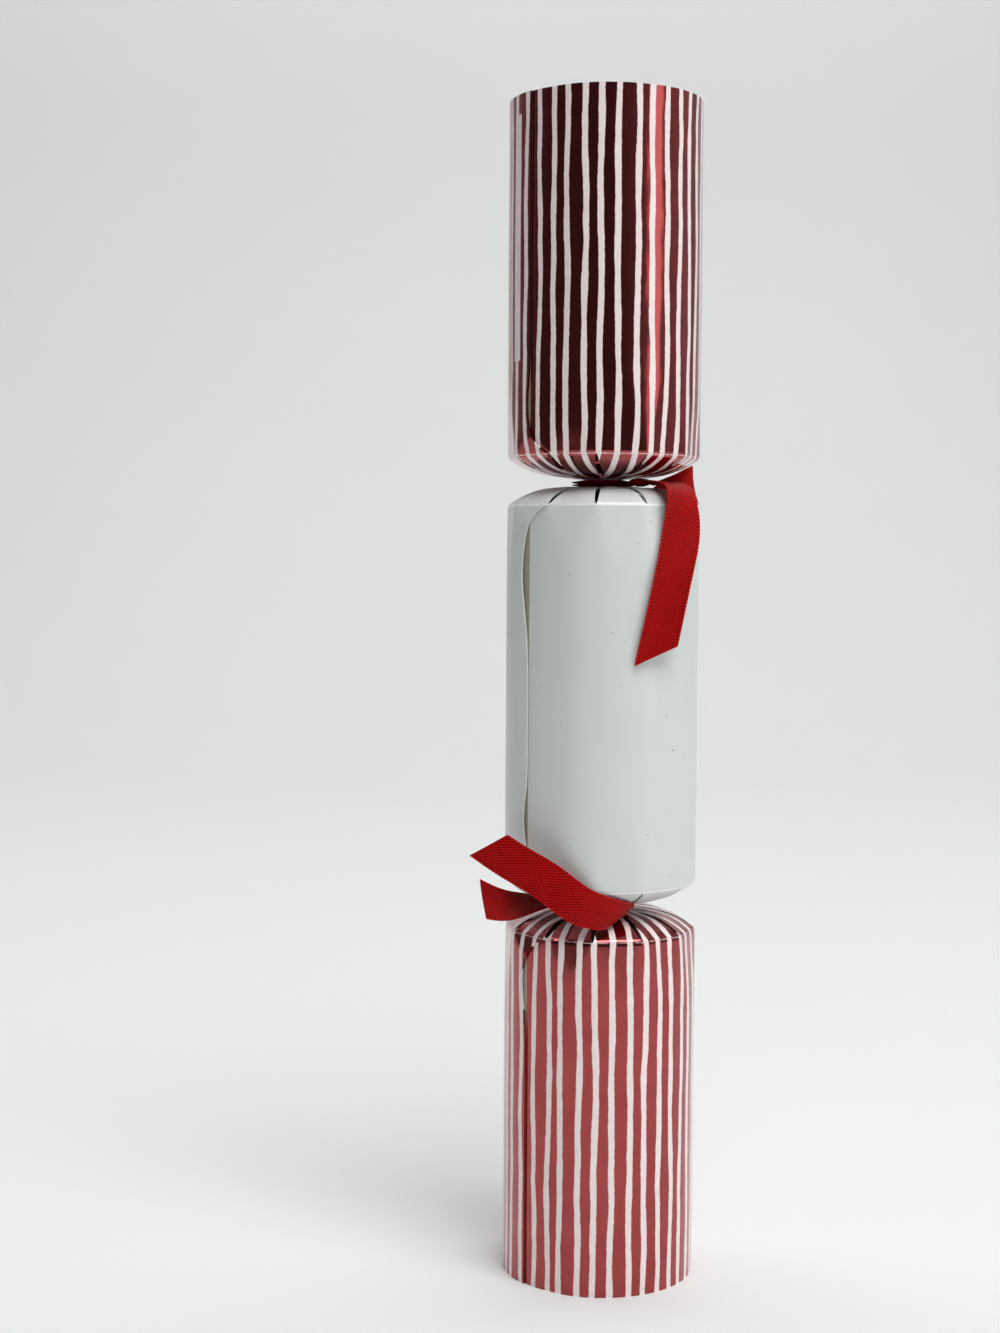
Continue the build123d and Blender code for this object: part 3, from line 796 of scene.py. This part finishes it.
def white_card(name):
    """Coated white card: a satin sheen, faint specks, a painted highlight along the creases and a bare lap
    under the seam's edge.
    """
    paint = Paint(name)
    u, v = paint.flat()
    tone = paint.noise(paint.join(u, v), 0.05, 3.0, 0.5)
    colour = paint.tones(tone, *WHITE_TONES, low=0.1, high=0.9)
    speck = paint.noise(paint.join(u, v), 0.9, 0.0, 0.5)
    speck = paint.span(speck, 0.84, 0.87)
    colour = paint.mix(speck, colour, WHITE_SPECK)
    fold = paint.noise(paint.stretched(u, v, 0.7, 1.0), 1.0, 3.0, 0.6)
    # A pale line painted along each crease stands for its highlight: a painted highlight, broken here and
    # there by noise.
    creases = [paint.band(v, crease - 0.3, crease + 0.3, 0.2) for crease in (BARREL_LOW, BARREL_HIGH)]
    crease_line = paint.math("ADD", *creases)
    crease_line = paint.math("MULTIPLY", crease_line, paint.span(fold, 0.3, 0.6, 0.45, 1.0))
    colour = paint.mix(crease_line, colour, WHITE_CREASE_HIGHLIGHT)
    raw = raw_lap(paint, u)
    colour = paint.mix(raw, colour, card_board(paint, u, v))
    paint.put("Base Color", colour)
    paint.put("Roughness", paint.math("MULTIPLY_ADD", raw, 0.45, 0.32))
    roll = paint.noise(paint.stretched(u, v, 0.11, 0.05), 1.0, 2.0, 0.5)
    paint.put("Normal", paint.bump(roll, 0.45, 0.0006))
    return paint.material


def ribbon_satin(name):
    """Woven red ribbon: rows of floats on the slant, with painted shade in the hollows between them, and a
    beaded selvedge along each edge with painted shade in a groove inside it.
    """
    paint = Paint(name)
    u, v = paint.flat()
    cosine, sine = math.cos(WEAVE_SLANT), math.sin(WEAVE_SLANT)
    row = paint.math("MULTIPLY", v, sine / WEAVE_ROW)
    row = paint.math("ADD", row, paint.math("MULTIPLY", u, cosine / WEAVE_ROW))
    along = paint.math("MULTIPLY", v, cosine / WEAVE_FLOAT)
    along = paint.math("SUBTRACT", along, paint.math("MULTIPLY", u, sine / WEAVE_FLOAT))
    along = paint.math("ADD", along, paint.math("MULTIPLY", paint.math("FLOOR", row), 0.5))
    weave = paint.math("MULTIPLY", paint.swing(row), paint.swing(along, low=0.3))
    edge = paint.math("ABSOLUTE", paint.math("SUBTRACT", u, RIBBON / 2))
    selvedge = paint.band(edge, RIBBON / 2 - SELVEDGE, RIBBON / 2 + 1.0, 0.12)
    # A band just inside each selvedge is painted dark: the painted shade of a groove.
    groove_shade = paint.band(edge, RIBBON / 2 - SHADED_GROOVE[0], RIBBON / 2 - SHADED_GROOVE[1], 0.10)
    inner = paint.math("MULTIPLY", weave, paint.math("SUBTRACT", 1.0, selvedge))
    outer = paint.math("MULTIPLY", paint.swing(v, pitch=BEAD), selvedge)
    height = paint.math("ADD", inner, outer)
    yarn = paint.noise(paint.stretched(u, v, 2.4, 0.5), 1.0, 3.0, 0.6)
    shade = paint.noise(paint.join(u, v), 0.16, 2.0, 0.5)
    # The low ground of the weave takes the dark tones: painted shade in its hollows.
    red = paint.mix(height, paint.tones(shade, *RIBBON_SHADED_GROUND), paint.tones(yarn, *RIBBON_FLOATS))
    red = paint.mix(paint.math("MULTIPLY", groove_shade, 0.55), red, RIBBON_GROOVE_SHADE)
    paint.put("Base Color", red)
    paint.put("Roughness", paint.span(weave, 0.0, 1.0, 0.60, 0.34))
    paint.put("Normal", paint.bump(height, 0.5, 0.00012))
    paint.put("Specular IOR Level", 0.45)
    paint.put("Specular Tint", RIBBON_GLINT)
    return paint.material


def grained(name, dark, light, scale, rough, bump, stretch=(1.0, 1.0, 1.0)):
    """A matt paper or board, with fibres."""
    paint = Paint(name, rough=rough)
    place = paint.place()
    fibre = paint.noise(paint.vector("MULTIPLY", place, stretch), scale, 5.0, 0.65)
    cloud = paint.noise(place, 0.08, 3.0, 0.5)
    base = paint.tones(fibre, dark, light)
    paint.put("Base Color", paint.mix(paint.span(cloud, 0.35, 0.65, 0.0, 0.3), base, dark))
    paint.put("Normal", paint.bump(fibre, bump, 0.0002))
    return paint.material


def die_plastic(name, centre):
    """White moulded plastic with the sunk pips painted dark."""
    paint = Paint(name)
    offset = paint.vector("SUBTRACT", paint.place(), centre)
    x, y, z = paint.parts(paint.vector("ABSOLUTE", offset))
    reach = paint.math("MAXIMUM", paint.math("MAXIMUM", x, y), z)
    pip = paint.span(reach, *PIP_FLOOR, 1.0, 0.0)
    cloud = paint.noise(paint.place(), 0.4, 3.0, 0.5)
    paint.put("Base Color", paint.mix(pip, paint.tones(cloud, *DIE_TONES), PIP_COLOUR))
    paint.put("Roughness", paint.span(cloud, 0.3, 0.7, 0.18, 0.28))
    return paint.material


# The pieces

def make_wraps():
    """Card wraps in place of the plain solids."""
    board = bare_board("card_board")
    upper_foil = foil_card("upper_foil", LENGTH - END_CREASE, bare_strip=True)
    lower_foil = foil_card("lower_foil", END_CREASE, bare_strip=False)
    white = white_card("white_card")
    lower_fold = Fold(END_CREASE, 1, END_FOLD, END_DOME, 0.0)
    upper_fold = Fold(LENGTH - END_CREASE, -1, END_FOLD, END_DOME, 0.0)
    barrel_folds = [
        Fold(BARREL_LOW, -1, BARREL_FOLD, BARREL_DOME, NECK_LENGTH),
        Fold(BARREL_HIGH, 1, BARREL_FOLD, BARREL_DOME, NECK_LENGTH),
    ]
    make_wrap("lower_end_wrap", 0.0, END_CREASE, [lower_fold], [Gap(80.0, 9.0, 1.6)], seed=3.0,
              materials=[lower_foil, board], body="lower_end")
    make_wrap("upper_end_wrap", LENGTH - END_CREASE, LENGTH, [upper_fold], [Gap(226.0, 7.0, 0.9)], seed=8.0,
              materials=[upper_foil, board], body="upper_end")
    barrel_gaps = [Gap(184.0, 13.0, 2.5), Gap(121.0, 7.0, 1.3)]
    make_wrap("barrel_wrap", BARREL_LOW, BARREL_HIGH, barrel_folds, barrel_gaps, seed=5.0,
              materials=[white, board], body="barrel")


UPPER_FRONT = (
    (0.0, 0.0, KNOT_LEVEL, 0.0, 0.0),
    (0.54, -5.5, KNOT_LEVEL - 0.2, -1.3, 0.0),
    (0.98, -13.0, 3.7, 0.0, 0.0),
    (1.11, -14.8, -3.5, -18.8, 0.0),
    (1.17, -21.4, -16.5, -26.6, 0.0),
    (1.10, -32.6, -40.5, -19.4, 0.0),
)
UPPER_BACK = (
    (0.0, KNOT_SIDE, KNOT_LEVEL, 74.0, 10.0),
    (0.41, KNOT_SIDE + 20.8, KNOT_LEVEL - 0.1, 37.0, 10.0),
    (0.95, KNOT_SIDE + 28.8, KNOT_LEVEL - 0.1, 50.0, 80.0),
    (1.10, KNOT_SIDE + 57.8, 3.0, 60.0, 52.0),
    (1.13, KNOT_SIDE + 80.0, -7.0, 8.0, 34.0),
    (1.08, KNOT_SIDE + 90.0, -26.0, 0.0, 12.0),
)
LOWER_FRONT = (
    (0.0, 0.0, KNOT_LEVEL, 0.0, 0.0),
    (0.53, -7.1, KNOT_LEVEL + 0.5, 21.5, 31.0),
    (1.06, -32.0, 3.0, 14.0, 52.0),
    (1.29, -47.8, -2.9, 27.8, 57.0),
    (1.59, -62.6, -8.1, 34.6, 57.0),
    (1.98, -73.6, -13.5, 43.6, 57.0),
)
LOWER_BACK = (
    (0.0, -104.7, KNOT_LEVEL - KNOT_SHIFT, 0.0, 0.0),
    (0.46, -103.8, KNOT_LEVEL + 0.1, 1.8, -14.0),
    (0.92, -102.1, KNOT_LEVEL + 0.6, 2.1, -42.0),
    (1.42, -101.8, 4.2, -46.0, -58.0),
)


def make_tie(tie, crease, sense, knot, front, back, seed, satin):
    """A ribbon tie round one neck: its loop, its knot and its two tails."""
    level = crease + sense * (BARREL_FOLD + NECK_LENGTH / 2)
    loop = make_loop(f"{tie}_ribbon_loop", level, knot, seed, satin)
    make_knot(f"{tie}_ribbon_knot", level + sense * KNOT_SHIFT, knot, seed, satin)
    for side, (stations, start) in (("front", front), ("back", back)):
        edges = route(stations, crease, sense, knot, start)
        piece, length = make_tail(f"{tie}_ribbon_{side}_tail", *edges, seed + len(side), satin)


def make_ties():
    """The ribbon ties, each tail starting at its knot's outer face or against the loop."""
    satin = ribbon_satin("ribbon_satin")
    upper_tails = (UPPER_FRONT, KNOT_FACE), (UPPER_BACK, KNOT_FACE)
    lower_tails = (LOWER_FRONT, KNOT_FACE), (LOWER_BACK, LOOP_FACE)
    make_tie("upper", BARREL_HIGH, 1, UPPER_KNOT, *upper_tails, seed=1.0, satin=satin)
    make_tie("lower", BARREL_LOW, -1, LOWER_KNOT, *lower_tails, seed=6.0, satin=satin)


def finish_inside():
    """The pieces inside keep their solids and get their own papers and plastic."""
    tube_board = grained("tube_board", (0.34, 0.29, 0.22), (0.50, 0.45, 0.36),
                         scale=0.9, rough=0.9, bump=0.3, stretch=(1.0, 1.0, 0.25))
    strip_card = grained("strip_card", (0.44, 0.36, 0.23), (0.60, 0.51, 0.36),
                         scale=1.2, rough=0.85, bump=0.25, stretch=(1.0, 1.0, 0.3))
    band = grained("band_paper", (0.62, 0.57, 0.45), (0.78, 0.74, 0.63),
                   scale=1.5, rough=0.8, bump=0.2, stretch=(1.0, 1.0, 0.4))
    tissue = grained("crown_tissue", (0.02, 0.13, 0.05), (0.04, 0.21, 0.09),
                     scale=0.8, rough=0.75, bump=0.25, stretch=(1.0, 1.0, 0.15))
    charge = grained("charge", (0.08, 0.08, 0.09), (0.22, 0.21, 0.22), scale=4.0, rough=0.95, bump=0.6)
    striker = grained("striker", (0.05, 0.03, 0.02), (0.14, 0.08, 0.05), scale=5.0, rough=0.95, bump=0.7)
    motto = grained("motto_paper", (0.72, 0.70, 0.66), (0.84, 0.83, 0.80), scale=1.4, rough=0.8, bump=0.15)
    finishes = {
        "lower_end_liner": tube_board,
        "barrel_liner": tube_board,
        "upper_end_liner": tube_board,
        "lower_snap_strip": strip_card,
        "upper_snap_strip": strip_card,
        "snap_charge": charge,
        "snap_striker": striker,
        "snap_band": band,
        "paper_crown": tissue,
        "motto_slip": motto,
    }
    for node in ("first_die", "second_die"):
        low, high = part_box(node)
        centre = tuple((a + b) / 2 / MM for a, b in zip(low, high))
        finishes[node] = die_plastic(f"{node}_plastic", centre)
    for node, material in finishes.items():
        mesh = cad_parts[node].data
        mesh.materials.clear()
        mesh.materials.append(material)


# A pale table top, a soft room, and the camera where the photograph was taken from, in metres and degrees

FLOOR_FRONT = -1.3
FLOOR_BEND = 1.1  # where the table top starts to sweep up
BEND_RADIUS = 0.7
BACKDROP_TOP = 3.2
FLOOR_SIDE = 3.0
TABLE_RISE = 0.05  # above this the backdrop stops short on the left
BACKDROP_LEFT = -0.9
FLOOR_TONES = (0.80, 0.81, 0.81), (0.82, 0.83, 0.83)
ROOM_BRIGHT_SIDE = (0.45, 0.60, 0.60)
ROOM_LIGHT = {"From Min": -0.45, "From Max": 0.70, "To Min": 0.065, "To Max": 0.42}
CAMERA_PLACE = (-0.0267, -0.518, 0.1879)
CAMERA_PITCH = 3.15  # down from level
CAMERA_ROLL = 0.33
FOCAL_PIXELS, PHOTO_WIDTH = 1975.0, 1000.0
SENSOR = 36.0


def make_floor():
    """A pale table top that sweeps up into a backdrop."""
    line = [(FLOOR_FRONT, 0.0)]
    for angle in range(0, 91, 6):
        x, y = polar(BEND_RADIUS, angle)
        line.append((FLOOR_BEND + y, BEND_RADIUS - x))
    line.append((FLOOR_BEND + BEND_RADIUS, BACKDROP_TOP))
    verts = []
    for y, z in line:
        left = -FLOOR_SIDE if z < TABLE_RISE else BACKDROP_LEFT
        verts += [(left, y, z), (FLOOR_SIDE, y, z)]
    faces = [(2 * i, 2 * i + 1, 2 * i + 3, 2 * i + 2) for i in range(len(line) - 1)]
    mesh = bpy.data.meshes.new("floor")
    mesh.from_pydata(verts, [], faces)
    mesh.polygons.foreach_set("use_smooth", [True] * len(mesh.polygons))
    paint = Paint("floor", rough=0.7)
    tone = paint.noise(paint.place(), 0.004, 2.0, 0.5)
    paint.put("Base Color", paint.mix(tone, *FLOOR_TONES))
    mesh.materials.append(paint.material)
    floor = bpy.data.objects.new("floor", mesh)
    scene.collection.objects.link(floor)


def make_world():
    """A soft room: bright behind, above and to the right, dim in front and to the left."""
    world = bpy.data.worlds.new("room")
    scene.world = world
    world.use_nodes = True
    tree = world.node_tree
    tree.nodes.clear()
    output = tree.nodes.new("ShaderNodeOutputWorld")
    background = tree.nodes.new("ShaderNodeBackground")
    coordinates = tree.nodes.new("ShaderNodeTexCoord")
    facing = tree.nodes.new("ShaderNodeVectorMath")
    facing.operation = "DOT_PRODUCT"
    facing.inputs[1].default_value = Vector(ROOM_BRIGHT_SIDE).normalized()
    level = tree.nodes.new("ShaderNodeMapRange")
    for name, value in ROOM_LIGHT.items():
        level.inputs[name].default_value = value
    tree.links.new(coordinates.outputs["Generated"], facing.inputs[0])
    tree.links.new(facing.outputs["Value"], level.inputs["Value"])
    tree.links.new(level.outputs[0], background.inputs["Strength"])
    background.inputs["Color"].default_value = (1.0, 1.0, 1.0, 1.0)
    tree.links.new(background.outputs[0], output.inputs[0])


def make_lamp(name, place, target, width, height, radiance):
    """A rectangular lamp that faces its target and that the camera does not see."""
    light = bpy.data.lights.new(name, "AREA")
    light.shape = "RECTANGLE"
    light.size = width
    light.size_y = height
    light.energy = radiance * math.pi * width * height
    lamp = bpy.data.objects.new(name, light)
    lamp.location = place
    lamp.rotation_euler = (Vector(target) - Vector(place)).to_track_quat("-Z", "Y").to_euler()
    lamp.visible_camera = False
    scene.collection.objects.link(lamp)


def make_camera():
    """The camera of the photograph, fitted to the corners of the creases."""
    data = bpy.data.cameras.new("camera")
    data.sensor_fit = "HORIZONTAL"
    data.sensor_width = SENSOR
    data.lens = SENSOR * FOCAL_PIXELS / PHOTO_WIDTH
    camera = bpy.data.objects.new("camera", data)
    camera.location = CAMERA_PLACE
    pitch = Matrix.Rotation(math.radians(90 - CAMERA_PITCH), 3, "X")
    roll = Matrix.Rotation(math.radians(CAMERA_ROLL), 3, "Z")
    camera.rotation_euler = (pitch @ roll).to_euler()
    scene.collection.objects.link(camera)
    scene.camera = camera


make_wraps()
make_ties()
finish_inside()
make_floor()
make_world()
make_lamp("strip", place=(0.71, -0.46, 0.62), target=(0.0, 0.0, 0.62), width=0.24, height=1.15, radiance=1.4)
make_lamp("key", place=(0.40, -0.85, 1.65), target=(0.0, 0.0, 0.15), width=1.0, height=1.0, radiance=6.8)
make_lamp("backdrop", place=(0.0, 0.55, 2.3), target=(0.0, 1.8, 0.6), width=2.6, height=0.7, radiance=4.2)
make_camera()

bpy.context.view_layer.update()
